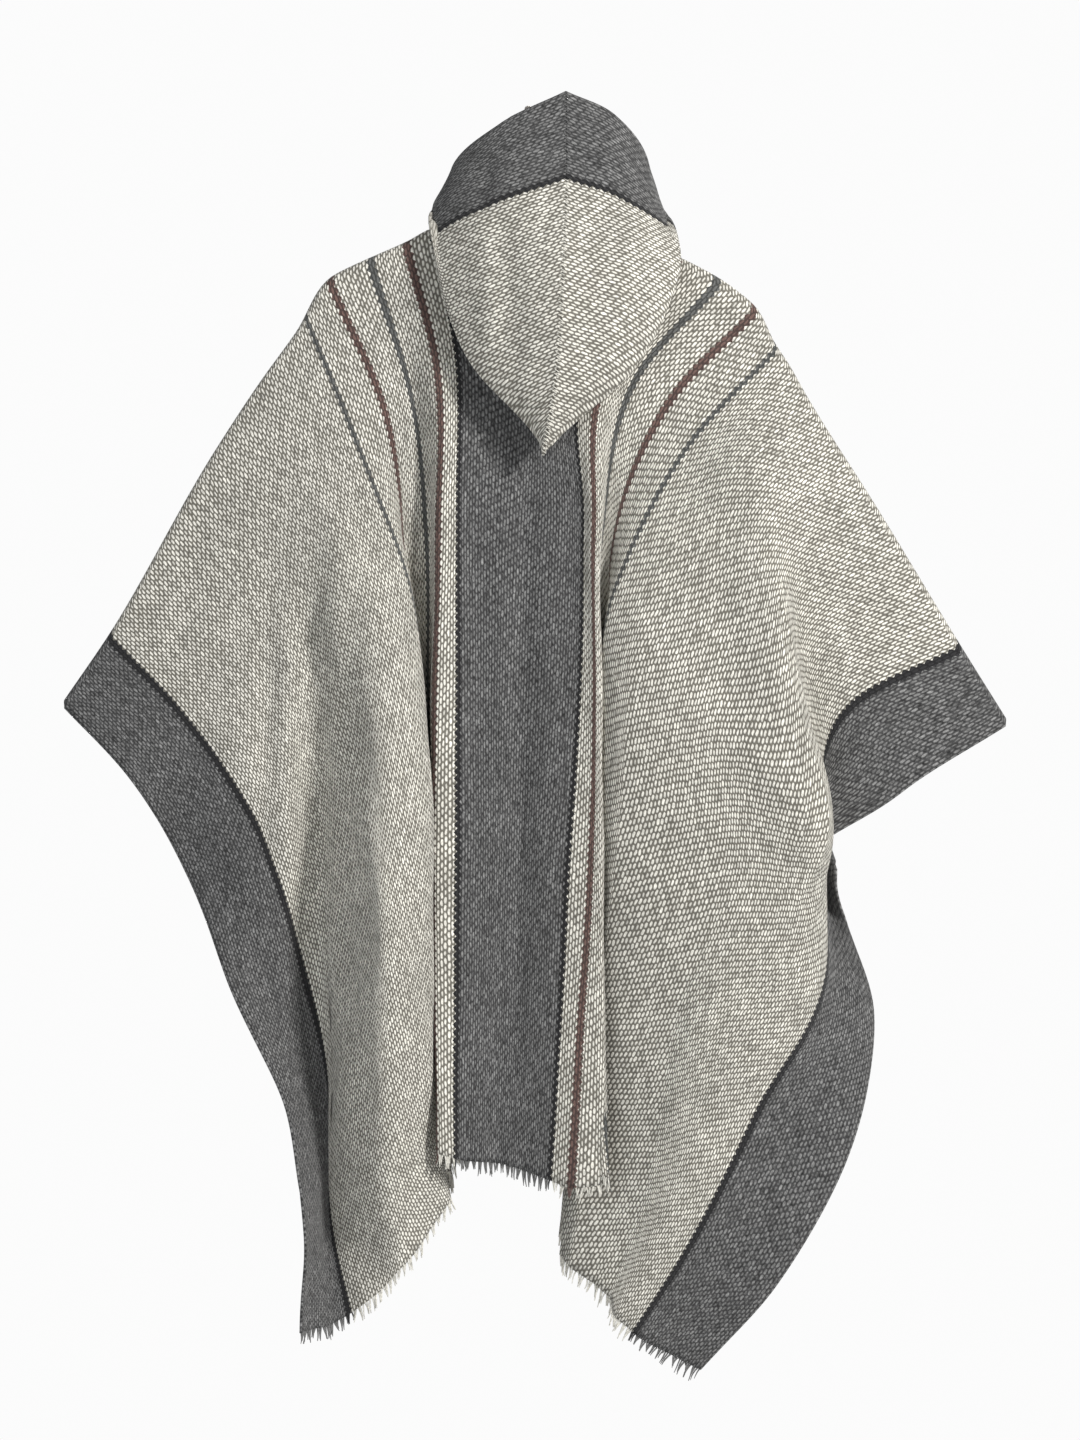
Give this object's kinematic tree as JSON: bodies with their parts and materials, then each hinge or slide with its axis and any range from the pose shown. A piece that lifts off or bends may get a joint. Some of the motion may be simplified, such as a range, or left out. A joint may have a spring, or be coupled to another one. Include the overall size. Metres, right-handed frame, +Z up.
{
  "type": "hooded poncho on a coat hanger",
  "caption": "Hooded hand-woven wool poncho with striped web and fringed hems, hung from a wooden coat hanger with its hood drawn up over the hook.",
  "frame": {"origin": "inner top of the hanger hook's arch, where a rod or a peg carries it", "axes": "+Z up; the poncho's back faces -Y, its front with the neck slit faces +Y; +X is the right-hand side of someone who looks at its back"},
  "size_m": [0.948, 0.2, 1.2928],
  "materials": {
    "pale_cloth": "coarse hand-woven wool, pale grey with dark grey, black and brown stripes",
    "hood_cloth": "coarse hand-woven wool, pale grey with a dark grey border",
    "fringe_yarn": "loose wool yarn ends",
    "hanger_wood": "clear satin varnish",
    "hook_wire": "plain bent steel wire"
  },
  "bodies": {
    "root": {"back": "pale_cloth", "front": "pale_cloth", "hood_left": "hood_cloth", "hood_right": "hood_cloth", "back_fringe": "fringe_yarn", "front_fringe": "fringe_yarn", "hanger": "hanger_wood", "hanger_hook": "hook_wire"}
  },
  "joints": []
}
